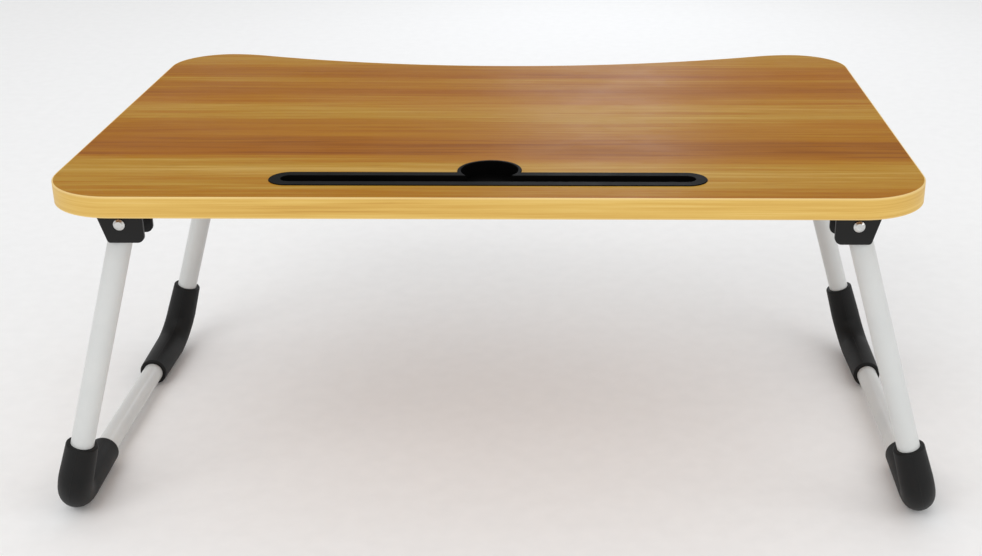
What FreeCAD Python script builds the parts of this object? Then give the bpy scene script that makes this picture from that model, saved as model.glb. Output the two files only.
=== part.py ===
import FreeCAD, Part
import math
import os
import re

import Sketcher
from FreeCAD import Placement, Rotation, Vector

# Folding tray table: a wooden board with a tablet slot and a scooped long edge, carried by two bent-tube
# leg frames that swing in under the board. +Z is up, +X runs along the board, and the scooped edge faces +Y.
# The origin is on the floor under the middle of the board. The legs are modelled open, splayed outward.

DIMENSIONS = {
    # board
    "board_length": 600.0,
    "board_depth": 400.0,
    "board_thick": 15.0,
    "laminate_thick": 0.8,
    "band_thick": 1.0,
    "band_round": 0.6,
    "near_corner": 50.0,
    "far_corner": 45.0,
    "crest_radius": 88.0,
    "scoop_depth": 43.0,
    # tablet slot insert
    "slot_length": 300.0,
    "slot_width": 28.0,
    "slot_centre": -161.0,
    "groove_length": 284.0,
    "groove_width": 12.6,
    "moon_radius": 20.0,
    "moon_offset": 19.2,
    "moon_rim": 2.4,
    "flange_thick": 1.8,
    "flange_proud": 0.6,
    "flange_round": 0.5,
    "tub_depth": 11.0,
    "tub_wall": 1.6,
    "fit_gap": 0.15,
    # pivots
    "pivot_spread": 510.0,
    "pivot_drop": 32.0,
    "pin_radius": 3.0,
    "pin_tail": 1.8,
    "pin_head_radius": 4.0,
    "pin_crown_radius": 2.4,
    "pin_head_height": 1.9,
    "pin_head_edge": 0.9,
    "pin_gap": 0.05,
    "press_gap": 0.03,
    "bush_radius": 4.2,
    "bush_length": 17.8,
    "retainer_radius": 5.2,
    "retainer_crown_radius": 3.9,
    "retainer_height": 3.2,
    "retainer_round": 0.8,
    # hinge brackets
    "bracket_width": 25.0,
    "bracket_gap": 19.0,
    "bracket_inner": 16.0,
    "bracket_outer_top": 19.0,
    "bracket_outer_low": 9.5,
    "bracket_drop": 13.8,
    "bracket_inner_corner": 5.0,
    "bracket_outer_corner": 2.5,
    "bracket_round": 0.8,
    "plate_length": 56.0,
    "plate_thick": 2.5,
    "plate_corner": 5.0,
    # screws, four to a bracket
    "screw_spacing_along": 45.0,
    "screw_spacing_across": 11.0,
    "screw_radius": 1.9,
    "screw_reach": 10.0,
    "screw_tip": 3.0,
    "screw_point_radius": 0.4,
    "screw_head_radius": 3.6,
    "screw_head_height": 1.5,
    "screw_head_crown": 0.8,
    "screw_crown_radius": 2.4,
    "screw_slot_width": 0.9,
    "screw_slot_depth": 1.1,
    "screw_slot_length": 4.4,
    # leg frames
    "splay_angle": 16.5,
    "leg_length": 240.7,
    "leg_spacing": 306.0,
    "tube_radius": 8.5,
    "tube_wall": 1.2,
    "bend_radius": 26.0,
    "heel_high": 12.4,
    "heel_low": 5.5,
    "plug_depth": 24.0,
    # rubber feet
    "foot_radius": 12.8,
    "foot_rim_radius": 11.8,
    "foot_leg_arm": 28.0,
    "foot_run_arm": 56.0,
    "foot_round": 1.4,
    # how far a cutting shape passes the surface it opens
    "cut_past": 2.0,
}

SIDES = {"left": -1, "right": 1}
ENDS = {"front": -1, "rear": 1}

doc = FreeCAD.newDocument("folding_tray_table")
sheet = doc.addObject("Spreadsheet::Sheet", "Dimensions")
for row, (alias, number) in enumerate(DIMENSIONS.items(), start=1):
    sheet.set(f"A{row}", alias)
    sheet.set(f"B{row}", str(number))
    sheet.setAlias(f"B{row}", alias)
doc.recompute()

BOARD_TOP = "(pivot_drop + leg_length * cos(splay_angle) + foot_radius)"
PIVOT_HEIGHT = "(leg_length * cos(splay_angle) + foot_radius)"
SAME = 0.01
nodes = []


def size(alias):
    """A driving dimension's number, in millimetres or degrees."""
    return float(sheet.get(alias))


def bind(item, target, formula):
    """Bind a property or constraint to a formula of the sheet's aliases, which all hold an underscore."""
    expression = re.sub(r"[a-z]+(?:_[a-z]+)+", lambda word: "Dimensions." + word.group(0), formula)
    item.setExpression(target, expression)


def keep(item, label):
    """Give a finished sub-part its label and list it for export."""
    item.Label = label
    nodes.append(item)
    return item


# Sketches

def origin_plane(body, role):
    return next(plane for plane in body.Origin.OriginFeatures if plane.Role == role)


def new_body(name):
    return doc.addObject("PartDesign::Body", name)


def new_sketch(body, name, role="XY_Plane", offset=None):
    sketch = body.newObject("Sketcher::SketchObject", name)
    sketch.AttachmentSupport = [(origin_plane(body, role), "")]
    sketch.MapMode = "FlatFace"
    if offset:
        bind(sketch, "AttachmentOffset.Base.z", offset)
    return sketch


def constrain(sketch, kind, *where, formula=None):
    """Add a constraint; a dimension starts at its drawn value and is then bound to its formula."""
    index = sketch.addConstraint(Sketcher.Constraint(kind, *where))
    if formula:
        bind(sketch, f"Constraints[{index}]", formula)
    return index


def arc(centre_x, centre_y, radius, start, end):
    """An arc drawn counter-clockwise, with its angles in degrees."""
    circle = Part.Circle(Vector(centre_x, centre_y, 0), Vector(0, 0, 1), radius)
    return Part.ArcOfCircle(circle, math.radians(start), math.radians(end))


def line(x1, y1, x2, y2):
    return Part.LineSegment(Vector(x1, y1, 0), Vector(x2, y2, 0))


def draw_circle(sketch, x, y, radius, x_formula, y_formula, radius_formula):
    """A circle at a signed place; a coordinate of zero sits on the sketch's axis."""
    circle = sketch.addGeometry(Part.Circle(Vector(x, y, 0), Vector(0, 0, 1), radius))
    constrain(sketch, "Radius", circle, radius, formula=radius_formula)
    for kind, at, formula, axis in (("DistanceX", x, x_formula, -2), ("DistanceY", y, y_formula, -1)):
        if formula is None:
            constrain(sketch, "PointOnObject", circle, 3, axis)
        elif at > 0:
            constrain(sketch, kind, -1, 1, circle, 3, at, formula=formula)
        else:
            constrain(sketch, kind, circle, 3, -1, 1, -at, formula=formula)
    return circle


def draw_polygon(sketch, corners):
    """A closed polygon; each corner is (x, y, x formula, y formula), the formulas giving absolute distances."""
    first = sketch.GeometryCount
    count = len(corners)
    for index in range(count):
        here, after = corners[index], corners[(index + 1) % count]
        sketch.addGeometry(line(here[0], here[1], after[0], after[1]))
    for index in range(count):
        constrain(sketch, "Coincident", first + index, 2, first + (index + 1) % count, 1)
    for index, (x, y, x_formula, y_formula) in enumerate(corners):
        for kind, at, formula in (("DistanceX", x, x_formula), ("DistanceY", y, y_formula)):
            if at > 0:
                constrain(sketch, kind, -1, 1, first + index, 1, at, formula=formula)
            else:
                constrain(sketch, kind, first + index, 1, -1, 1, -at, formula=formula)


def draw_board_outline(sketch, inset=0.0, inset_formula="0 * band_thick"):
    """The board's outline, moved in all round by inset.

    Round near corners, straight ends, round far corners, and between them a crest and a wide scoop that
    meet in a smooth S. The scoop's radius follows from its depth and the crest's radius.
    """
    half_x, half_y = size("board_length") / 2, size("board_depth") / 2
    near, far, crest = size("near_corner"), size("far_corner"), size("crest_radius")
    depth = size("scoop_depth")
    tip = half_x - far
    both_radii = (tip ** 2 + depth ** 2) / (2 * depth)
    scoop = both_radii - crest
    lean = math.degrees(math.asin(tip / both_radii))
    d = inset
    n = sketch.GeometryCount
    sketch.addGeometry([
        line(near - half_x, d - half_y, half_x - near, d - half_y),
        arc(half_x - near, near - half_y, near - d, -90, 0),
        line(half_x - d, near - half_y, half_x - d, half_y - far),
        arc(tip, half_y - far, far - d, 0, 90),
        arc(tip, half_y - crest, crest - d, 90, 90 + lean),
        arc(0, half_y - depth + scoop, scoop + d, 270 - lean, 270 + lean),
        arc(-tip, half_y - crest, crest - d, 90 - lean, 90),
        arc(-tip, half_y - far, far - d, 90, 180),
        line(d - half_x, half_y - far, d - half_x, near - half_y),
        arc(near - half_x, near - half_y, near - d, 180, 270),
    ], False)
    near_edge, near_right, right, far_right, crest_right, hollow, crest_left, far_left, left, near_left = (
        range(n, n + 10))
    chain = [(near_edge, 2, near_right, 1), (near_right, 2, right, 1), (right, 2, far_right, 1),
             (far_right, 2, crest_right, 1), (crest_right, 2, hollow, 2), (hollow, 1, crest_left, 1),
             (crest_left, 2, far_left, 1), (far_left, 2, left, 1), (left, 2, near_left, 1),
             (near_left, 2, near_edge, 1)]
    for joint in chain:
        constrain(sketch, "Tangent", *joint)
    constrain(sketch, "Horizontal", near_edge)
    constrain(sketch, "Vertical", right)
    constrain(sketch, "Vertical", left)
    for corner in (near_right, near_left):
        constrain(sketch, "Radius", corner, near - d, formula=f"near_corner - {inset_formula}")
    for corner in (far_right, far_left):
        constrain(sketch, "Radius", corner, far - d, formula=f"far_corner - {inset_formula}")
    for corner in (crest_right, crest_left):
        constrain(sketch, "Radius", corner, crest - d, formula=f"crest_radius - {inset_formula}")
    constrain(sketch, "Radius", hollow, scoop + d,
              formula="((board_length / 2 - far_corner)^2 + scoop_depth^2) / (2 * scoop_depth)"
                      f" - crest_radius + {inset_formula}")
    constrain(sketch, "DistanceY", near_edge, 1, -1, 1, half_y - d,
              formula=f"board_depth / 2 - {inset_formula}")
    constrain(sketch, "DistanceX", -1, 1, right, 1, half_x - d,
              formula=f"board_length / 2 - {inset_formula}")
    constrain(sketch, "DistanceX", left, 1, -1, 1, half_x - d,
              formula=f"board_length / 2 - {inset_formula}")
    for corner, top in ((far_right, crest_right), (far_left, crest_left)):
        constrain(sketch, "DistanceY", -1, 1, corner, 3, half_y - far, formula="board_depth / 2 - far_corner")
        constrain(sketch, "Vertical", corner, 3, top, 3)


# Solid features

def add_pad(body, sketch, formula, length, symmetric=False):
    pad = body.newObject("PartDesign::Pad", "Pad")
    pad.Profile = sketch
    pad.Length = length
    pad.Midplane = symmetric
    bind(pad, "Length", formula)


def add_pocket(body, sketch, formula, length):
    """A pocket cut equally to both sides of its sketch, checked to take material away."""
    doc.recompute()
    before = body.Shape.Volume
    pocket = body.newObject("PartDesign::Pocket", "Pocket")
    pocket.Profile = sketch
    pocket.Length = length
    pocket.Midplane = True
    bind(pocket, "Length", formula)
    doc.recompute()
    if body.Shape.Volume >= before:
        raise RuntimeError(f"the pocket in {body.Name} cuts nothing")


def add_fillet(body, edges, formula, radius):
    """Round the named edges of the body's last feature."""
    last = body.Tip
    fillet = body.newObject("PartDesign::Fillet", "Fillet")
    fillet.Base = (last, edges)
    fillet.Radius = radius
    bind(fillet, "Radius", formula)
    body.Tip = fillet


def edge_names(shape, wanted):
    """The names of a shape's edges that pass a test."""
    return [f"Edge{i}" for i, edge in enumerate(shape.Edges, start=1) if wanted(edge)]


def solid(kind, name, **formulas):
    """A Part primitive whose properties are bound; Placement parts are written as Base_x, Base_y, Base_z."""
    item = doc.addObject(kind, name)
    for target, formula in formulas.items():
        path = "Placement.Base." + target[-1] if target.startswith("Base_") else target
        bind(item, path, formula)
    return item


def fuse(name, *shapes):
    item = doc.addObject("Part::MultiFuse", name)
    item.Shapes = list(shapes)
    return item


def cut(name, base, tool):
    item = doc.addObject("Part::Cut", name)
    item.Base = base
    item.Tool = tool
    return item


def group(name, *shapes):
    item = doc.addObject("Part::Compound", name)
    item.Links = list(shapes)
    return item


# The board

def board_sheet(name, thick_formula, thick, height_formula):
    """A sheet of the board inside the edge band."""
    body = new_body(name)
    sketch = new_sketch(body, name + "_outline")
    draw_board_outline(sketch, size("band_thick"), "band_thick")
    add_pad(body, sketch, thick_formula, thick)
    bind(body, "Placement.Base.z", height_formula)
    return body


def stadium(name, length, width, base, height):
    """A slot-shaped block along X, centred on the slot; its sizes and its base height are formulas."""
    straight = solid("Part::Box", name + "_straight", Length=f"{length} - ({width})", Width=width,
                     Height=height, Base_x=f"-({length} - ({width})) / 2",
                     Base_y=f"slot_centre - ({width}) / 2", Base_z=base)
    ends = [solid("Part::Cylinder", f"{name}_{side}_end", Radius=f"({width}) / 2", Height=height,
                  Base_x=f"{sign} * ({length} - ({width})) / 2", Base_y="slot_centre", Base_z=base)
            for side, sign in SIDES.items()]
    return straight, *ends


def moon(name, radius, base, height):
    """The round finger bay behind the middle of the slot."""
    return solid("Part::Cylinder", name, Radius=radius, Height=height, Base_x="0 * slot_width",
                 Base_y="slot_centre + moon_offset", Base_z=base)


def slot_block(name, outline, growth, base, height):
    """The slot's outline as a block: the outer flange's or the groove's, grown all round."""
    if outline == "flange":
        length, width, radius = "slot_length", "slot_width", "moon_radius + moon_rim"
    else:
        length, width, radius = "groove_length", "groove_width", "moon_radius"
    return fuse(name, *stadium(name, f"{length} + 2 * ({growth})", f"{width} + 2 * ({growth})", base, height),
                moon(name + "_bay", f"{radius} + {growth}", base, height))


def slot_recess(name):
    """The stepped hollow that the board is routed out to, a fit gap larger than the insert."""
    flange_low = f"{BOARD_TOP} - flange_thick + flange_proud - fit_gap"
    tub_low = f"{BOARD_TOP} - tub_depth - fit_gap"
    past_top = "+ flange_thick + cut_past"
    return fuse(name,
                slot_block(name + "_rebate", "flange", "fit_gap", flange_low, "flange_thick " + past_top),
                slot_block(name + "_well", "groove", "tub_wall + fit_gap", tub_low, "tub_depth " + past_top))


def pilot_holes(name):
    """The screws' holes in the underside of the board, a fit gap wider and deeper than the screws."""
    holes = []
    for label, x, y in screw_places():
        holes.append(solid("Part::Cylinder", f"{name}_{label}", Radius="screw_radius + fit_gap",
                           Height="screw_reach + fit_gap + cut_past", Base_x=x, Base_y=y,
                           Base_z=f"{BOARD_TOP} - board_thick - cut_past"))
    return group(name, *holes)


def screw_places():
    """Every bracket screw: a label and formulas for its place under the board."""
    for end, end_sign in ENDS.items():
        for side, side_sign in SIDES.items():
            for i, along in enumerate((-1, 1), start=1):
                for j, across in enumerate((-1, 1), start=1):
                    x = f"{side_sign} * pivot_spread / 2 + {along} * screw_spacing_along / 2"
                    y = f"{end_sign} * leg_spacing / 2 + {across} * screw_spacing_across / 2"
                    yield f"{end}_{side}_{i}{j}", x, y


def make_board():
    laminate = size("laminate_thick")
    core = board_sheet("core_sheet", "board_thick - 2 * laminate_thick", size("board_thick") - 2 * laminate,
                       f"{BOARD_TOP} - board_thick + laminate_thick")
    top = board_sheet("top_sheet", "laminate_thick", laminate, f"{BOARD_TOP} - laminate_thick")
    under = board_sheet("under_sheet", "laminate_thick", laminate, f"{BOARD_TOP} - board_thick")
    keep(cut("board_core", core, fuse("core_hollows", slot_recess("core_recess"), pilot_holes("core_pilots"))),
         "board_core")
    keep(cut("top_laminate", top, slot_recess("laminate_recess")), "top_laminate")
    keep(cut("underside_laminate", under, pilot_holes("laminate_pilots")), "underside_laminate")


def make_edge_band():
    body = new_body("edge_band")
    sketch = new_sketch(body, "band_outlines")
    draw_board_outline(sketch)
    draw_board_outline(sketch, size("band_thick"), "band_thick")
    add_pad(body, sketch, "board_thick", size("board_thick"))
    doc.recompute()
    rims = []
    for face in body.Shape.Faces:
        if face.BoundBox.ZLength < SAME:
            rims += face.OuterWire.Edges
    outer = edge_names(body.Shape, lambda edge: any(edge.isSame(rim) for rim in rims))
    add_fillet(body, outer, "band_round", size("band_round"))
    bind(body, "Placement.Base.z", f"{BOARD_TOP} - board_thick")
    keep(body, "edge_band")


def make_slot_insert():
    """The plastic insert: a flange on the board and a tub below it, hollowed to the groove and finger bay."""
    flange = slot_block("insert_flange", "flange", "0 * fit_gap",
                        f"{BOARD_TOP} - flange_thick + flange_proud", "flange_thick")
    tub = slot_block("insert_tub", "groove", "tub_wall", f"{BOARD_TOP} - tub_depth",
                     "tub_depth - flange_thick + flange_proud")
    hollow = slot_block("insert_hollow", "groove", "0 * fit_gap", f"{BOARD_TOP} - tub_depth + tub_wall",
                        "tub_depth + flange_proud")
    shell = cut("insert_shell", fuse("insert_solid", flange, tub), hollow)
    doc.recompute()
    top = shell.Shape.BoundBox.ZMax
    rounded = doc.addObject("Part::Fillet", "slot_insert")
    rounded.Base = shell
    radius = size("flange_round")
    rounded.Edges = [(i, radius, radius) for i, edge in enumerate(shell.Shape.Edges, start=1)
                     if abs(edge.BoundBox.ZMin - top) < SAME and abs(edge.BoundBox.ZMax - top) < SAME]
    keep(rounded, "slot_insert")


# The hinges

def facing(side):
    """The turn that carries a piece drawn for the right side over to its own side."""
    return Rotation(Vector(0, 0, 1), 0 if side == "right" else 180)


def make_bracket(end, side):
    """A moulded U bracket. Its own origin is on the pin's axis, midway between its two cheeks.

    It is drawn for the right side, where outward is +X, and turned half round for the left.
    """
    name = f"{end}_{side}_bracket"
    body = new_body(name)
    cheeks = new_sketch(body, name + "_cheeks", "XZ_Plane")
    inner, drop = size("bracket_inner"), size("bracket_drop")
    outer_top, outer_low = size("bracket_outer_top"), size("bracket_outer_low")
    roof, roof_formula = size("pivot_drop") - size("board_thick"), "pivot_drop - board_thick"
    draw_polygon(cheeks, [(-inner, roof, "bracket_inner", roof_formula),
                          (outer_top, roof, "bracket_outer_top", roof_formula),
                          (outer_low, -drop, "bracket_outer_low", "bracket_drop"),
                          (-inner, -drop, "bracket_inner", "bracket_drop")])
    add_pad(body, cheeks, "bracket_width", size("bracket_width"), symmetric=True)
    for way, alias in ((-1, "bracket_inner_corner"), (1, "bracket_outer_corner")):
        doc.recompute()
        lower = edge_names(body.Shape, lambda edge: abs(edge.BoundBox.ZMin + drop) < SAME
                           and edge.BoundBox.ZLength < SAME and edge.BoundBox.XLength < SAME
                           and edge.CenterOfMass.x * way > inner / 2)
        add_fillet(body, lower, alias, size(alias))

    plate = new_sketch(body, name + "_plate", "XY_Plane", f"{roof_formula} - plate_thick")
    half_x, half_y = size("plate_length") / 2, size("bracket_width") / 2
    draw_polygon(plate, [(x * half_x, y * half_y, "plate_length / 2", "bracket_width / 2")
                         for x, y in ((-1, -1), (1, -1), (1, 1), (-1, 1))])
    add_pad(body, plate, "plate_thick", size("plate_thick"))
    doc.recompute()
    corners = edge_names(body.Shape, lambda edge: abs(abs(edge.CenterOfMass.x) - half_x) < SAME
                         and edge.BoundBox.YLength < SAME)
    add_fillet(body, corners, "plate_corner", size("plate_corner"))

    channel = new_sketch(body, name + "_channel", "YZ_Plane")
    gap, ceiling = size("bracket_gap") / 2, roof - size("plate_thick")
    draw_polygon(channel, [(-gap, -2 * drop, "bracket_gap / 2", "2 * bracket_drop"),
                           (gap, -2 * drop, "bracket_gap / 2", "2 * bracket_drop"),
                           (gap, ceiling, "bracket_gap / 2", f"{roof_formula} - plate_thick"),
                           (-gap, ceiling, "bracket_gap / 2", f"{roof_formula} - plate_thick")])
    add_pocket(body, channel, "2 * plate_length", 2 * size("plate_length"))

    bore = new_sketch(body, name + "_bore", "XZ_Plane")
    draw_circle(bore, 0, 0, size("pin_radius"), None, None, "pin_radius + press_gap")
    add_pocket(body, bore, "2 * bracket_width", 2 * size("bracket_width"))

    holes = new_sketch(body, name + "_screw_holes", "XY_Plane")
    along, across = size("screw_spacing_along") / 2, size("screw_spacing_across") / 2
    for x, y in ((-1, -1), (1, -1), (1, 1), (-1, 1)):
        draw_circle(holes, x * along, y * across, size("screw_radius"), "screw_spacing_along / 2",
                    "screw_spacing_across / 2", "screw_radius + fit_gap")
    add_pocket(body, holes, "2 * pivot_drop", 2 * size("pivot_drop"))

    long_edge = 2 * size("bracket_inner_corner")
    outline = edge_names(body.Shape, lambda edge: abs(abs(edge.CenterOfMass.y) - half_y) < SAME
                         and edge.BoundBox.YLength < SAME and edge.BoundBox.ZMax < ceiling + SAME
                         and edge.Length > long_edge and not edge.isClosed())
    add_fillet(body, outline, "bracket_round", size("bracket_round"))
    body.Placement = Placement(Vector(0, 0, 0), facing(side))
    bind(body, "Placement.Base.x", f"{SIDES[side]} * pivot_spread / 2")
    bind(body, "Placement.Base.y", f"{ENDS[end]} * leg_spacing / 2")
    bind(body, "Placement.Base.z", PIVOT_HEIGHT)
    keep(body, name)


def round_piece(name, radius, length, x, y, outward):
    """A cylinder on the pin's axis; y is the formula of its inner end, and outward is the way it points."""
    piece = solid("Part::Cylinder", name, Radius=radius, Height=length)
    piece.Placement = Placement(Vector(0, 0, 0), Rotation(Vector(1, 0, 0), -90 * outward))
    bind(piece, "Placement.Base.x", x)
    bind(piece, "Placement.Base.y", y)
    bind(piece, "Placement.Base.z", PIVOT_HEIGHT)
    return piece


def make_pin(end, side):
    """A steel rivet pin: its head is on the outer cheek, and its tail takes the push-on retainer."""
    out = ENDS[end]
    x, centre = f"{SIDES[side]} * pivot_spread / 2", f"{out} * leg_spacing / 2"
    name = f"{end}_{side}_pivot_pin"
    tail = f"{centre} - {out} * (bracket_width / 2 + pin_tail)"
    shank = round_piece(name + "_shank", "pin_radius", "bracket_width + pin_tail + pin_head_edge / 2",
                        x, tail, out)
    face = f"{centre} + {out} * bracket_width / 2"
    head = round_piece(name + "_head", "pin_head_radius", "pin_head_edge", x, face, out)
    crown = doc.addObject("Part::Cone", name + "_crown")
    bind(crown, "Radius1", "pin_head_radius")
    bind(crown, "Radius2", "pin_crown_radius")
    bind(crown, "Height", "pin_head_height - pin_head_edge")
    crown.Placement = Placement(Vector(0, 0, 0), Rotation(Vector(1, 0, 0), -90 * out))
    bind(crown, "Placement.Base.x", x)
    bind(crown, "Placement.Base.y", f"{face} + {out} * pin_head_edge")
    bind(crown, "Placement.Base.z", PIVOT_HEIGHT)
    keep(fuse(name, shank, head, crown), name)

    name = f"{end}_{side}_pin_retainer"
    inner_face = f"{centre} - {out} * bracket_width / 2"
    cap = round_piece(name + "_cap", "retainer_radius", "retainer_height - retainer_round", x, inner_face, -out)
    dome = doc.addObject("Part::Cone", name + "_dome")
    bind(dome, "Radius1", "retainer_radius")
    bind(dome, "Radius2", "retainer_crown_radius")
    bind(dome, "Height", "retainer_round")
    dome.Placement = Placement(Vector(0, 0, 0), Rotation(Vector(1, 0, 0), 90 * out))
    bind(dome, "Placement.Base.x", x)
    bind(dome, "Placement.Base.y", f"{inner_face} - {out} * (retainer_height - retainer_round)")
    bind(dome, "Placement.Base.z", PIVOT_HEIGHT)
    bore = round_piece(name + "_bore", "pin_radius + press_gap", "pin_tail + fit_gap", x, inner_face, -out)
    keep(cut(name, fuse(name + "_solid", cap, dome), bore), name)


def make_screws(end, side):
    """Four pan-head wood screws up through the bracket's plate into the board."""
    plate_low = f"{BOARD_TOP} - board_thick - plate_thick"
    screws = []
    for label, x, y in screw_places():
        if not label.startswith(f"{end}_{side}_"):
            continue
        name = "screw_" + label
        shank = solid("Part::Cylinder", name + "_shank", Radius="screw_radius",
                      Height="plate_thick + screw_reach - screw_tip", Base_x=x, Base_y=y, Base_z=plate_low)
        tip = solid("Part::Cone", name + "_tip", Radius1="screw_radius", Radius2="screw_point_radius",
                    Height="screw_tip", Base_x=x, Base_y=y,
                    Base_z=f"{plate_low} + plate_thick + screw_reach - screw_tip")
        head = solid("Part::Cylinder", name + "_head", Radius="screw_head_radius",
                     Height="screw_head_height - screw_head_crown", Base_x=x, Base_y=y,
                     Base_z=f"{plate_low} - screw_head_height + screw_head_crown")
        crown = solid("Part::Cone", name + "_crown", Radius1="screw_crown_radius",
                      Radius2="screw_head_radius", Height="screw_head_crown", Base_x=x, Base_y=y,
                      Base_z=f"{plate_low} - screw_head_height")
        slots = [solid("Part::Box", f"{name}_slot_{way}", Length=length, Width=width,
                       Height="screw_slot_depth + cut_past", Base_x=f"{x} - {length} / 2",
                       Base_y=f"{y} - {width} / 2", Base_z=f"{plate_low} - screw_head_height - cut_past")
                 for way, length, width in (("x", "screw_slot_length", "screw_slot_width"),
                                            ("y", "screw_slot_width", "screw_slot_length"))]
        screws.append(cut(name, fuse(name + "_solid", shank, tip, head, crown), fuse(name + "_cross", *slots)))
    name = f"{end}_{side}_bracket_screws"
    keep(group(name, *screws), name)


# The leg frames

def place_on_frame(item, side):
    """Stand a piece of a leg frame in its open pose: turned out by the splay about the pin's axis."""
    splay = Rotation(Vector(0, 1, 0), -size("splay_angle"))
    item.Placement = Placement(Vector(0, 0, 0), facing(side).multiply(splay))
    bind(item, "Placement.Base.x", f"{SIDES[side]} * pivot_spread / 2")
    bind(item, "Placement.Base.z", PIVOT_HEIGHT)


def own_end(side, end):
    """The frame's own Y direction of an end; the left frame is the right one turned half round."""
    return ENDS[end] * SIDES[side]


def draw_heel_waste(sketch):
    """What a slanted saw cut takes off the top of a leg: it leaves a high heel on the outer side."""
    wide, top = 2 * size("tube_radius"), 3 * size("heel_high")
    slope = (size("heel_high") - size("heel_low")) / (2 * size("tube_radius"))
    middle = (size("heel_high") + size("heel_low")) / 2
    middle_formula, slope_formula = "(heel_high + heel_low) / 2", "(heel_high - heel_low) / (2 * tube_radius)"
    draw_polygon(sketch, [
        (-wide, middle - slope * wide, "2 * tube_radius",
         f"{middle_formula} - {slope_formula} * 2 * tube_radius"),
        (wide, middle + slope * wide, "2 * tube_radius",
         f"{middle_formula} + {slope_formula} * 2 * tube_radius"),
        (wide, top, "2 * tube_radius", "3 * heel_high"),
        (-wide, top, "2 * tube_radius", "3 * heel_high")])


def cut_heels_and_bores(body, name, bore_formula, bore):
    waste = new_sketch(body, name + "_heel_cut", "XZ_Plane")
    draw_heel_waste(waste)
    across = size("leg_spacing") + 4 * size("tube_radius")
    add_pocket(body, waste, "leg_spacing + 4 * tube_radius", across)
    bores = new_sketch(body, name + "_bores", "XZ_Plane")
    draw_circle(bores, 0, 0, bore, None, None, bore_formula)
    add_pocket(body, bores, "leg_spacing + 4 * tube_radius", across)


def draw_whole_path(sketch):
    """The tube's centre line: down one leg, along the floor and up the other."""
    half, length, bend = size("leg_spacing") / 2, size("leg_length"), size("bend_radius")
    top = size("heel_high") + size("cut_past")
    sketch.addGeometry([
        line(-half, top, -half, bend - length),
        arc(bend - half, bend - length, bend, 180, 270),
        line(bend - half, -length, half - bend, -length),
        arc(half - bend, bend - length, bend, 270, 360),
        line(half, bend - length, half, top),
    ], False)
    for index in range(4):
        constrain(sketch, "Tangent", index, 2, index + 1, 1)
    constrain(sketch, "Vertical", 0)
    constrain(sketch, "Vertical", 4)
    constrain(sketch, "Horizontal", 2)
    for index in (1, 3):
        constrain(sketch, "Radius", index, bend, formula="bend_radius")
    constrain(sketch, "DistanceX", 0, 1, -1, 1, half, formula="leg_spacing / 2")
    constrain(sketch, "DistanceX", -1, 1, 4, 2, half, formula="leg_spacing / 2")
    constrain(sketch, "DistanceY", 2, 1, -1, 1, length, formula="leg_length")
    constrain(sketch, "DistanceY", -1, 1, 0, 1, top, formula="heel_high + cut_past")
    constrain(sketch, "DistanceY", -1, 1, 4, 2, top, formula="heel_high + cut_past")


def sweep(body, profile, path):
    pipe = body.newObject("PartDesign::AdditivePipe", "Pipe")
    pipe.Profile = profile
    pipe.Spine = (path, [f"Edge{i}" for i in range(1, path.GeometryCount + 1)])
    doc.recompute()


def draw_ring(sketch, y, outer, inner, y_formula, outer_formula, inner_formula):
    for radius, formula in ((outer, outer_formula), (inner, inner_formula)):
        draw_circle(sketch, 0, y, radius, None, y_formula, formula)


def make_leg_tube(side):
    name = f"{side}_leg_tube"
    body = new_body(name)
    path = new_sketch(body, name + "_path", "YZ_Plane")
    draw_whole_path(path)
    ring = new_sketch(body, name + "_ring", "XY_Plane", "heel_high + cut_past")
    radius, wall = size("tube_radius"), size("tube_wall")
    draw_ring(ring, -size("leg_spacing") / 2, radius, radius - wall, "leg_spacing / 2", "tube_radius",
              "tube_radius - tube_wall")
    sweep(body, ring, path)
    cut_heels_and_bores(body, name, "bush_radius + pin_gap", size("bush_radius") + size("pin_gap"))
    place_on_frame(body, side)
    keep(body, name)


def elbow(name, own, arm_kind, bend_radius, arm_radii, past):
    """A solid elbow along a corner of the frame: a quarter torus, an arm up the leg and an arm on the run.

    It stays in the frame's own coordinates. Radii are formulas; past lengthens both arms.
    """
    inward = Rotation(Vector(1, 0, 0), 90 * own)
    bend_turn = Rotation(Vector(0, own, 0), Vector(0, 0, -1), Vector(-own, 0, 0), "XYZ")
    run_start = f"{own} * (leg_spacing / 2 - bend_radius)"
    bend = solid("Part::Torus", name + "_bend", Radius1="bend_radius", Radius2=bend_radius)
    bend.Angle3 = 90
    up = solid(arm_kind, name + "_leg_arm", Height=f"foot_leg_arm + {past}", **arm_radii)
    along = solid(arm_kind, name + "_run_arm", Height=f"foot_run_arm + {past}", **arm_radii)
    for item, turn, y, z in ((bend, bend_turn, run_start, "bend_radius - leg_length"),
                             (up, Rotation(), f"{own} * leg_spacing / 2", "bend_radius - leg_length"),
                             (along, inward, run_start, "-leg_length")):
        item.Placement = Placement(Vector(0, 0, 0), turn)
        bind(item, "Placement.Base.y", y)
        bind(item, "Placement.Base.z", z)
    return fuse(name, bend, up, along)


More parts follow.
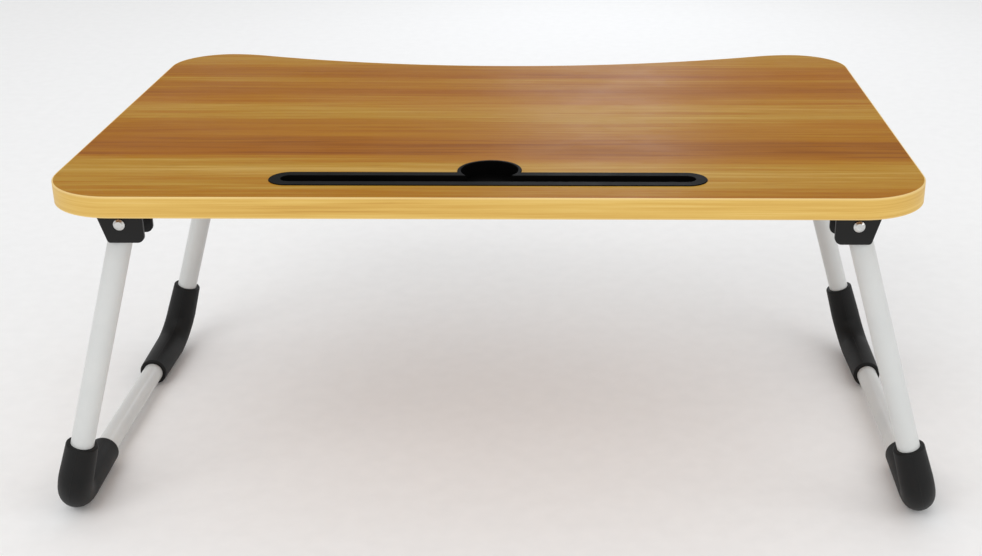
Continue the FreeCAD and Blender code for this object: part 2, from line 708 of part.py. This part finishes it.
def make_foot(side, end):
    """A rubber elbow over a corner of the frame, fullest at the bend, tapering to two rounded rims."""
    name = f"{side}_{end}_foot"
    own = own_end(side, end)
    skin = elbow(name + "_skin", own, "Part::Cone", "foot_radius",
                 {"Radius1": "foot_radius", "Radius2": "foot_rim_radius"}, "0 * cut_past")
    bore = elbow(name + "_bore", own, "Part::Cylinder", "tube_radius + pin_gap",
                 {"Radius": "tube_radius + pin_gap"}, "cut_past")
    sleeve = cut(name + "_sleeve", skin, bore)
    doc.recompute()
    rim, radius = size("foot_rim_radius"), size("foot_round")
    rounded = doc.addObject("Part::Fillet", name)
    rounded.Base = sleeve
    rounded.Edges = [(i, radius, radius) for i, edge in enumerate(sleeve.Shape.Edges, start=1)
                     if edge.isClosed() and edge.Curve.TypeId == "Part::GeomCircle"
                     and abs(edge.Curve.Radius - rim) < SAME]
    place_on_frame(rounded, side)
    keep(rounded, name)


def make_plug(side, end):
    """A nylon plug pressed into the top of a leg, bored across for the bush and cut to the tube's heel."""
    name = f"{side}_{end}_tube_plug"
    body = new_body(name)
    own = own_end(side, end)
    disc = new_sketch(body, name + "_disc", "XY_Plane", "-plug_depth")
    radius = size("tube_radius") - size("tube_wall") - size("pin_gap")
    draw_circle(disc, 0, own * size("leg_spacing") / 2, radius, None, "leg_spacing / 2",
                "tube_radius - tube_wall - pin_gap")
    add_pad(body, disc, "plug_depth + heel_high + cut_past",
            size("plug_depth") + size("heel_high") + size("cut_past"))
    cut_heels_and_bores(body, name, "bush_radius + pin_gap", size("bush_radius") + size("pin_gap"))
    place_on_frame(body, side)
    keep(body, name)


def make_bush(side, end):
    """The nylon bush that turns on the pin; it stands a little out of the tube on both sides."""
    name = f"{side}_{end}_pivot_bush"
    x, centre = f"{SIDES[side]} * pivot_spread / 2", f"{ENDS[end]} * leg_spacing / 2"
    start = f"{centre} - bush_length / 2"
    outer = round_piece(name + "_outer", "bush_radius", "bush_length", x, start, 1)
    bore = round_piece(name + "_bore", "pin_radius + pin_gap", "bush_length", x, start, 1)
    keep(cut(name, outer, bore), name)


def check():
    """Stop if any object failed to build or any sub-part isn't a valid closed shape."""
    for item in doc.Objects:
        if "Invalid" in item.State or "Error" in item.State:
            raise RuntimeError(f"{item.Name} failed: {item.State}")
    for node in nodes:
        if node.Shape.isNull() or not node.Shape.isValid() or not node.Shape.Solids:
            raise RuntimeError(f"{node.Label} has no valid shape")


def export():
    os.makedirs("parts", exist_ok=True)
    for node in nodes:
        node.Shape.exportStep(os.path.join("parts", node.Label + ".step"))


make_board()
make_edge_band()
make_slot_insert()
for end in ENDS:
    for side in SIDES:
        make_bracket(end, side)
        make_pin(end, side)
        make_screws(end, side)
for side in SIDES:
    make_leg_tube(side)
    for end in ENDS:
        make_foot(side, end)
        make_plug(side, end)
        make_bush(side, end)
doc.recompute()
check()
export()
for node in nodes:
    box = node.Shape.BoundBox
    print(f"{node.Label:28s} {len(node.Shape.Solids)} solid(s) {node.Shape.Volume / 1000:9.2f} cm3"
          f"  x {box.XMin:8.2f} {box.XMax:8.2f}  y {box.YMin:8.2f} {box.YMax:8.2f}"
          f"  z {box.ZMin:8.2f} {box.ZMax:8.2f}")
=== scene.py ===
import math

import bpy
from mathutils import Matrix, Vector


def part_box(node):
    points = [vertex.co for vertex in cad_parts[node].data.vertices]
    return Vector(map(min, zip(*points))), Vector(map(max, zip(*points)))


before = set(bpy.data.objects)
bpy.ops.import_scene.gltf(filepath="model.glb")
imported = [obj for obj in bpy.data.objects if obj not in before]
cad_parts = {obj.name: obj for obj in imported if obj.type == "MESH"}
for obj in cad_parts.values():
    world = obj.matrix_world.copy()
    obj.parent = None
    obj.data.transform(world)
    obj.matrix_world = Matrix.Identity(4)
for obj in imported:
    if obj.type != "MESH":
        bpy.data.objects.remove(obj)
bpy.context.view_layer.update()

# Folding tray table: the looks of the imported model. Everything is in metres, in the model's own frame.

BOARD_LOW, BOARD_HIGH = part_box("edge_band")
BOARD_TOP = BOARD_HIGH.z
PIVOT = sum(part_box("front_right_pivot_pin"), Vector()) / 2
LEG_SPLAY = 16.5                 # degrees that the open legs lean outward, as in the CAD
ENDS = ("front", "rear")
SIDES = ("left", "right")

# The camera, from a fit of the built sizes to the photograph.
LENS_MM = 51.75
SENSOR_MM = 36.0
CAMERA_SHIFT = -0.0774           # of the sensor's width; the picture seems cropped more on its right
CAMERA_X, CAMERA_Y = 0.0609, -1.0772
CAMERA_OVER_BOARD = 0.3067
CAMERA_YAW, CAMERA_PITCH = 0.43, 22.50      # degrees

FLOOR_REACH = 6.0
WORLD_STRENGTH = 0.80


def srgb(red, green, blue):
    """A colour given as screen values from 0 to 255, as the linear colour that a shader takes."""
    def linear(value):
        value = value / 255
        return value / 12.92 if value <= 0.04045 else ((value + 0.055) / 1.055) ** 2.4
    return linear(red), linear(green), linear(blue), 1.0


# Material graph helpers

class Material:
    """A node material under construction, with one Principled shader."""

    def __init__(self, name, **settings):
        self.material = bpy.data.materials.new(name)
        self.material.use_nodes = True
        self.tree = self.material.node_tree
        self.shader = self.tree.nodes["Principled BSDF"]
        self.place = self.add("ShaderNodeTexCoord").outputs["Object"]
        for socket, value in settings.items():
            self.shader.inputs[socket.replace("_", " ")].default_value = value

    def add(self, kind, **settings):
        node = self.tree.nodes.new(kind)
        for name, value in settings.items():
            setattr(node, name, value)
        return node

    def put(self, value, socket):
        """Give a socket a link, a number or a colour."""
        if isinstance(value, bpy.types.NodeSocket):
            self.tree.links.new(value, socket)
        else:
            socket.default_value = value

    def math(self, operation, *values):
        node = self.add("ShaderNodeMath", operation=operation)
        for value, socket in zip(values, node.inputs):
            self.put(value, socket)
        return node.outputs[0]

    def axes(self):
        """The object coordinates X, Y and Z, by name."""
        node = self.add("ShaderNodeSeparateXYZ")
        self.put(self.place, node.inputs[0])
        return node.outputs

    def scaled(self, scale, offset=(0.0, 0.0, 0.0), place=None):
        """Object coordinates stretched by a scale along each axis, in features per metre."""
        node = self.add("ShaderNodeMapping")
        self.put(place or self.place, node.inputs["Vector"])
        node.inputs["Scale"].default_value = scale
        node.inputs["Location"].default_value = offset
        return node.outputs["Vector"]

    def noise(self, scale, detail=3.0, roughness=0.55, distortion=0.0, offset=(0.0, 0.0, 0.0), place=None):
        """Noise from 0 to 1 about 0.5; scale is features per metre along X, Y and Z."""
        if isinstance(scale, (int, float)):
            scale = (scale, scale, scale)
        node = self.add("ShaderNodeTexNoise")
        self.put(self.scaled(scale, offset, place), node.inputs["Vector"])
        node.inputs["Scale"].default_value = 1.0
        node.inputs["Detail"].default_value = detail
        node.inputs["Roughness"].default_value = roughness
        node.inputs["Distortion"].default_value = distortion
        return node.outputs["Fac"]

    def span(self, value, low, high, to_low=0.0, to_high=1.0, smooth=False):
        """Map a range of values to another, held at its ends."""
        node = self.add("ShaderNodeMapRange")
        node.interpolation_type = "SMOOTHSTEP" if smooth else "LINEAR"
        self.put(value, node.inputs["Value"])
        for name, number in (("From Min", low), ("From Max", high), ("To Min", to_low), ("To Max", to_high)):
            node.inputs[name].default_value = number
        return node.outputs["Result"]

    def ramp(self, value, stops):
        """A straight-line colour ramp; stops are (position, colour)."""
        node = self.add("ShaderNodeValToRGB")
        elements = node.color_ramp.elements
        while len(elements) < len(stops):
            elements.new(0.5)
        for element, (position, colour) in zip(elements, stops):
            element.position = position
            element.color = colour
        self.put(value, node.inputs["Fac"])
        return node.outputs["Color"]

    def mix(self, share, first, second, blend="MIX"):
        node = self.add("ShaderNodeMix", data_type="RGBA", blend_type=blend)
        self.put(share, node.inputs["Factor"])
        self.put(first, node.inputs["A"])
        self.put(second, node.inputs["B"])
        return node.outputs["Result"]

    def colour(self, value):
        self.put(value, self.shader.inputs["Base Color"])

    def roughness(self, value):
        self.put(value, self.shader.inputs["Roughness"])

    def bump(self, *layers):
        """Stack height layers, each (height from 0 to 1, depth in metres, strength)."""
        normal = None
        for height, depth, strength in layers:
            node = self.add("ShaderNodeBump")
            node.inputs["Strength"].default_value = strength
            node.inputs["Distance"].default_value = depth
            self.put(height, node.inputs["Height"])
            if normal:
                self.put(normal, node.inputs["Normal"])
            normal = node.outputs["Normal"]
        self.put(normal, self.shader.inputs["Normal"])


# Materials

# The broad bands of the wood, chosen after the light and dark bands that the photograph shows: the place
# across the board from its straight edge, and how light the wood is there.
GRAIN_BANDS = (
    (0.00, 0.46), (0.05, 0.56), (0.10, 0.74), (0.155, 0.86), (0.20, 0.70), (0.25, 0.22), (0.31, 0.16),
    (0.38, 0.34), (0.43, 0.46), (0.49, 0.74), (0.54, 0.66), (0.60, 0.52), (0.66, 0.26), (0.72, 0.34),
    (0.77, 0.50), (0.82, 0.28), (0.87, 0.36), (0.92, 0.56), (1.00, 0.62),
)


def wood_shade(material, bands, streak, fibre):
    """How light the wood is, from broad bands, streaks and fibres, all along X; and the fibres on their own."""
    wander = material.span(material.noise((1.1, 5.0, 1.0), detail=2.0), 0.0, 1.0, -0.032, 0.032)
    ripple = material.span(material.noise((4.0, 26.0, 1.0), detail=2.0, offset=(3.0, 1.0, 0.0)),
                           0.0, 1.0, -0.010, 0.010)
    across = material.math("ADD", material.axes()["Y"], material.math("ADD", wander, ripple))
    place = material.span(across, BOARD_LOW.y, BOARD_HIGH.y)
    stops = [(position, (light, light, light, 1.0)) for position, light in bands]
    band = material.ramp(place, stops)
    broad = material.span(material.noise((1.6, 60.0, 1.0), detail=3.0, roughness=0.6), 0.3, 0.7, -0.5, 0.5)
    streaks = material.span(material.noise((5.5, 190.0, 1.0), detail=4.0, roughness=0.62, distortion=0.45,
                                           offset=(1.0, 7.0, 0.0)), 0.30, 0.70, -0.5, 0.5)
    fibres = material.span(material.noise((14.0, 1100.0, 1.0), detail=3.0, roughness=0.6), 0.25, 0.75, -0.5, 0.5)
    shade = band
    for layer, weight in ((broad, 0.30), (streaks, streak), (fibres, fibre)):
        shade = material.math("MULTIPLY_ADD", layer, weight, shade)
    return shade, fibres


def wood_pores(material, low, high):
    """Short dark dashes along the grain, from 0 to 1."""
    dashes = material.noise((55.0, 2600.0, 1.0), detail=1.0, roughness=0.4, offset=(9.0, 2.0, 0.0))
    return material.span(dashes, low, high)


def top_laminate():
    """Banded wood print. Its specular level is set low, so that the white world doesn't wash the colour out."""
    material = Material("wood_top_laminate", IOR=1.47, Specular_IOR_Level=0.03)
    shade, fibres = wood_shade(material, GRAIN_BANDS, streak=0.42, fibre=0.18)
    colour = material.ramp(shade, [
        (0.00, srgb(134, 76, 0)),
        (0.22, srgb(154, 94, 2)),
        (0.50, srgb(165, 110, 12)),
        (0.78, srgb(175, 133, 44)),
        (1.00, srgb(191, 156, 78)),
    ])
    warmth = material.span(material.noise((2.0, 16.0, 1.0), detail=2.0, offset=(5.0, 5.0, 0.0)), 0.35, 0.7)
    colour = material.mix(material.math("MULTIPLY", warmth, 0.35), colour,
                          material.mix(1.0, colour, srgb(255, 226, 196), "MULTIPLY"))
    pores = wood_pores(material, 0.655, 0.72)
    colour = material.mix(material.math("MULTIPLY", pores, 0.30), colour, srgb(98, 54, 20))
    material.colour(colour)
    smears = material.noise((14.0, 14.0, 14.0), detail=4.0, roughness=0.6)
    material.roughness(material.math("ADD", material.span(smears, 0.3, 0.7, 0.36, 0.44),
                                     material.math("MULTIPLY", pores, 0.10)))
    material.bump((fibres, 0.00006, 0.35), (material.math("SUBTRACT", 1.0, pores), 0.00008, 0.30))
    return material.material


def underside_laminate():
    """The same print, duller and dustier."""
    material = Material("wood_underside_laminate", IOR=1.45, Specular_IOR_Level=0.2)
    shade, fibres = wood_shade(material, GRAIN_BANDS[::2], streak=0.34, fibre=0.24)
    colour = material.ramp(shade, [
        (0.00, srgb(112, 68, 32)),
        (0.35, srgb(146, 97, 50)),
        (0.70, srgb(168, 122, 70)),
        (1.00, srgb(186, 148, 96)),
    ])
    dust = material.span(material.noise(9.0, detail=5.0, roughness=0.65), 0.45, 0.8, 0.0, 0.22)
    colour = material.mix(dust, colour, srgb(176, 160, 138))
    pores = wood_pores(material, 0.63, 0.70)
    colour = material.mix(material.math("MULTIPLY", pores, 0.40), colour, srgb(84, 50, 24))
    material.colour(colour)
    material.roughness(material.span(material.noise(22.0, detail=4.0), 0.3, 0.7, 0.55, 0.68))
    material.bump((fibres, 0.00008, 0.45))
    return material.material


def edge_band():
    """Light wood tape: its grain runs along the edge, so it only varies quickly with height."""
    material = Material("wood_edge_band", IOR=1.46, Specular_IOR_Level=0.25)
    flow = material.noise((2.2, 2.2, 30.0), detail=3.0, roughness=0.5, distortion=0.2)
    warp = material.span(flow, 0.0, 1.0, -0.0035, 0.0035)
    axes = material.axes()
    joined = material.add("ShaderNodeCombineXYZ")
    material.put(axes["X"], joined.inputs["X"])
    material.put(axes["Y"], joined.inputs["Y"])
    material.put(material.math("ADD", axes["Z"], warp), joined.inputs["Z"])
    warped = joined.outputs[0]
    bands = material.noise((5.0, 5.0, 240.0), detail=3.0, roughness=0.55, place=warped)
    lines = material.noise((11.0, 11.0, 1100.0), detail=3.0, roughness=0.6, place=warped, offset=(2.0, 0.0, 4.0))
    fibres = material.noise((60.0, 60.0, 4200.0), detail=2.0, roughness=0.6)
    shade = material.math("ADD", material.math("MULTIPLY", material.span(bands, 0.3, 0.7), 0.50),
                          material.math("MULTIPLY", material.span(lines, 0.28, 0.72), 0.34))
    shade = material.math("ADD", shade, material.math("MULTIPLY", fibres, 0.16))
    colour = material.ramp(shade, [
        (0.00, srgb(170, 118, 48)),
        (0.30, srgb(203, 160, 78)),
        (0.60, srgb(215, 177, 94)),
        (1.00, srgb(228, 196, 120)),
    ])
    # Painted highlight: a lighter colour is painted along the band's top and bottom arrises, where the rounded
    # edges would catch the light.
    arris_top = material.span(axes["Z"], BOARD_HIGH.z - 0.0016, BOARD_HIGH.z - 0.0004)
    arris_low = material.span(axes["Z"], BOARD_LOW.z + 0.0004, BOARD_LOW.z + 0.0014, 1.0, 0.0)
    painted_edge_highlight = material.math("MAXIMUM", arris_top, arris_low)
    colour = material.mix(material.math("MULTIPLY", painted_edge_highlight, 0.55), colour, srgb(240, 214, 150))
    material.colour(colour)
    material.roughness(material.span(material.noise(30.0, detail=3.0), 0.3, 0.7, 0.40, 0.50))
    material.bump((lines, 0.00007, 0.30), (fibres, 0.00003, 0.25))
    return material.material


def particle_board():
    """The board's core: pressed chips, seen only where it is cut."""
    material = Material("particle_board_core", IOR=1.45)
    chips = material.add("ShaderNodeTexVoronoi")
    material.put(material.scaled((420.0, 420.0, 900.0)), chips.inputs["Vector"])
    chips.inputs["Scale"].default_value = 1.0
    tone = material.add("ShaderNodeSeparateColor")
    material.put(chips.outputs["Color"], tone.inputs[0])
    colour = material.ramp(tone.outputs[0], [
        (0.0, srgb(150, 112, 68)), (0.5, srgb(182, 146, 98)), (1.0, srgb(208, 178, 132))])
    material.colour(colour)
    material.roughness(0.85)
    material.bump((chips.outputs["Distance"], 0.0002, 0.6))
    return material.material


def powder_coat():
    """Light grey satin paint baked on tube: fine orange peel and faint handling marks."""
    material = Material("leg_powder_coat", IOR=1.50, Coat_Weight=0.12, Coat_Roughness=0.22)
    cloud = material.span(material.noise(16.0, detail=4.0, roughness=0.6), 0.3, 0.7)
    colour = material.mix(cloud, srgb(200, 202, 201), srgb(210, 211, 209))
    speck = material.span(material.noise(2400.0, detail=1.0), 0.70, 0.78)
    colour = material.mix(material.math("MULTIPLY", speck, 0.35), colour, srgb(176, 178, 178))
    scuffs = material.span(material.noise((70.0, 70.0, 9.0), detail=5.0, roughness=0.75, distortion=1.2),
                           0.66, 0.74)
    colour = material.mix(material.math("MULTIPLY", scuffs, 0.28), colour, srgb(186, 187, 186))
    material.colour(colour)
    material.roughness(material.math("ADD", material.span(cloud, 0.0, 1.0, 0.30, 0.36),
                                     material.math("MULTIPLY", scuffs, 0.16)))
    peel = material.noise(950.0, detail=2.0, roughness=0.5)
    material.bump((peel, 0.00006, 0.30))
    return material.material


def rubber():
    """Matte black moulded rubber: a fine spark texture, a parting line round each elbow and a dusty sole."""
    material = Material("foot_rubber", IOR=1.50, Specular_IOR_Level=0.22)
    cloud = material.span(material.noise(28.0, detail=5.0, roughness=0.62), 0.3, 0.75)
    colour = material.mix(cloud, srgb(15, 15, 15), srgb(22, 22, 22))
    axes = material.axes()
    sole = material.span(axes["Z"], 0.001, 0.012, 1.0, 0.0)
    grit = material.span(material.noise(420.0, detail=4.0, roughness=0.7), 0.5, 0.75)
    colour = material.mix(material.math("MULTIPLY", sole, material.math("MULTIPLY", grit, 0.40)), colour,
                          srgb(92, 88, 82))
    material.colour(colour)
    material.roughness(material.span(cloud, 0.0, 1.0, 0.52, 0.64))
    # The parting line lies in the plane of the tube's bend, which passes through the pivot at the legs' lean.
    tilt = math.radians(LEG_SPLAY)
    out = material.math("SUBTRACT", material.math("ABSOLUTE", axes["X"]), PIVOT.x)
    up = material.math("SUBTRACT", axes["Z"], PIVOT.z)
    off_seam = material.math("ADD", material.math("MULTIPLY", out, math.cos(tilt)),
                             material.math("MULTIPLY", up, math.sin(tilt)))
    seam = material.span(material.math("ABSOLUTE", off_seam), 0.00008, 0.00032, 1.0, 0.0, smooth=True)
    spark = material.noise(1900.0, detail=3.0, roughness=0.65)
    material.bump((seam, 0.00022, 0.8), (spark, 0.00012, 0.35))
    return material.material


def black_plastic(name, dark, light, rough, grain, depth, specular=0.30):
    """Moulded black plastic with a textured mould skin."""
    material = Material(name, IOR=1.49, Specular_IOR_Level=specular)
    cloud = material.span(material.noise(35.0, detail=4.0, roughness=0.6), 0.3, 0.7)
    material.colour(material.mix(cloud, dark, light))
    material.roughness(material.span(cloud, 0.0, 1.0, rough - 0.04, rough + 0.05))
    pebble = material.noise(grain, detail=2.0, roughness=0.5)
    scratches = material.span(material.noise((900.0, 40.0, 40.0), detail=3.0, roughness=0.7, distortion=0.8),
                              0.70, 0.76)
    material.bump((pebble, depth, 0.40), (material.math("SUBTRACT", 1.0, scratches), 0.00002, 0.20))
    return material.material


def nylon():
    """Natural nylon, slightly see-through at its edges."""
    material = Material("bush_nylon", IOR=1.53, Subsurface_Weight=0.08, Subsurface_Scale=0.002)
    cloud = material.span(material.noise(120.0, detail=3.0), 0.3, 0.7)
    material.colour(material.mix(cloud, srgb(214, 210, 198), srgb(228, 225, 214)))
    material.roughness(material.span(cloud, 0.0, 1.0, 0.40, 0.52))
    material.bump((material.noise(2600.0, detail=2.0), 0.00003, 0.3))
    return material.material


def steel(name, tint, rough, turned_axis):
    """Zinc-plated steel with the fine rings or lines that turning leaves."""
    material = Material(name, Metallic=1.0, IOR=2.5)
    cloud = material.span(material.noise(260.0, detail=4.0, roughness=0.6), 0.3, 0.7)
    darker = tuple(channel * 0.80 for channel in tint[:3]) + (1.0,)
    material.colour(material.mix(cloud, darker, tint))
    material.roughness(material.span(cloud, 0.0, 1.0, rough - 0.05, rough + 0.07))
    scale = [900.0, 900.0, 900.0]
    scale["XYZ".index(turned_axis)] = 7000.0
    material.bump((material.noise(tuple(scale), detail=2.0), 0.00002, 0.35))
    return material.material


def paint_nodes():
    """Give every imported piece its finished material."""
    bracket = black_plastic("bracket_plastic", srgb(12, 12, 12), srgb(18, 18, 17), 0.46, 1500.0, 0.00010)
    insert = black_plastic("insert_plastic", srgb(5, 5, 5), srgb(9, 8, 8), 0.52, 1900.0, 0.00005, 0.03)
    plug = black_plastic("plug_nylon", srgb(34, 34, 34), srgb(44, 44, 44), 0.50, 1200.0, 0.00008)
    pin = steel("pin_zinc_steel", srgb(214, 214, 212), 0.24, "Y")
    screw = steel("screw_zinc_steel", srgb(200, 200, 196), 0.30, "Z")
    paint, foot, bush = powder_coat(), rubber(), nylon()
    finishes = {
        "board_core": particle_board(),
        "top_laminate": top_laminate(),
        "underside_laminate": underside_laminate(),
        "edge_band": edge_band(),
        "slot_insert": insert,
    }
    for end in ENDS:
        for side in SIDES:
            finishes[f"{end}_{side}_bracket"] = bracket
            finishes[f"{end}_{side}_pivot_pin"] = pin
            finishes[f"{end}_{side}_pin_retainer"] = pin
            finishes[f"{end}_{side}_bracket_screws"] = screw
            finishes[f"{side}_{end}_foot"] = foot
            finishes[f"{side}_{end}_tube_plug"] = plug
            finishes[f"{side}_{end}_pivot_bush"] = bush
    for side in SIDES:
        finishes[f"{side}_leg_tube"] = paint
    for name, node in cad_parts.items():
        for slot in node.material_slots:
            slot.material = finishes[name]


# Stage, light and camera

def make_floor():
    """A plain pale floor. It is clear from below, so that the underside can be looked at."""
    mesh = bpy.data.meshes.new("floor")
    corners = [(x * FLOOR_REACH, y * FLOOR_REACH, 0) for x, y in ((-1, -1), (1, -1), (1, 1), (-1, 1))]
    mesh.from_pydata(corners, [], [(0, 1, 2, 3)])
    floor = bpy.data.objects.new("floor", mesh)
    bpy.context.scene.collection.objects.link(floor)
    material = Material("floor_pale", IOR=1.3)
    grain = material.span(material.noise(60.0, detail=4.0), 0.3, 0.7)
    material.colour(material.mix(grain, srgb(246, 246, 246), srgb(249, 249, 249)))
    material.roughness(material.span(grain, 0.0, 1.0, 0.86, 0.92))
    open_below = material.add("ShaderNodeMixShader")
    clear = material.add("ShaderNodeBsdfTransparent")
    material.put(material.add("ShaderNodeNewGeometry").outputs["Backfacing"], open_below.inputs["Fac"])
    material.put(material.shader.outputs[0], open_below.inputs[1])
    material.put(clear.outputs[0], open_below.inputs[2])
    material.put(open_below.outputs[0], material.tree.nodes["Material Output"].inputs["Surface"])
    mesh.materials.append(material.material)


def make_light(name, place, target, size, power, colour=(1.0, 1.0, 1.0)):
    """A soft rectangular light, which the camera doesn't see."""
    data = bpy.data.lights.new(name, "AREA")
    data.shape = "RECTANGLE"
    data.size, data.size_y = size
    data.energy = power
    data.color = colour
    light = bpy.data.objects.new(name, data)
    light.location = place
    light.rotation_euler = (Vector(target) - Vector(place)).to_track_quat("-Z", "Y").to_euler()
    light.visible_camera = False
    bpy.context.scene.collection.objects.link(light)


def make_lights():
    world = bpy.data.worlds.new("studio")
    world.use_nodes = True
    background = world.node_tree.nodes["Background"]
    background.inputs["Color"].default_value = (1.0, 1.0, 1.0, 1.0)
    background.inputs["Strength"].default_value = WORLD_STRENGTH
    bpy.context.scene.world = world
    middle = (0.0, 0.0, BOARD_TOP * 0.6)
    make_light("key", (-0.9, -1.8, 1.9), middle, (1.6, 1.2), 17.0)
    make_light("fill", (1.8, -1.2, 1.2), middle, (1.4, 1.4), 8.0)
    make_light("back", (0.12, 1.9, 0.86), middle, (0.34, 0.62), 2.6, (0.86, 0.92, 1.0))


def make_camera():
    """The camera stands in front of the straight edge, a little to the right, and looks down at the board."""
    data = bpy.data.cameras.new("camera")
    data.sensor_width = SENSOR_MM
    data.lens = LENS_MM
    data.shift_x = CAMERA_SHIFT
    data.clip_start = 0.05
    camera = bpy.data.objects.new("camera", data)
    yaw, pitch = math.radians(CAMERA_YAW), math.radians(CAMERA_PITCH)
    turn = Matrix.Rotation(yaw, 4, "Z") @ Matrix.Rotation(math.pi / 2 - pitch, 4, "X")
    camera.matrix_world = Matrix.Translation((CAMERA_X, CAMERA_Y, BOARD_TOP + CAMERA_OVER_BOARD)) @ turn
    bpy.context.scene.collection.objects.link(camera)
    bpy.context.scene.camera = camera


make_camera()
make_floor()
make_lights()
paint_nodes()
bpy.context.scene.view_settings.view_transform = "Standard"
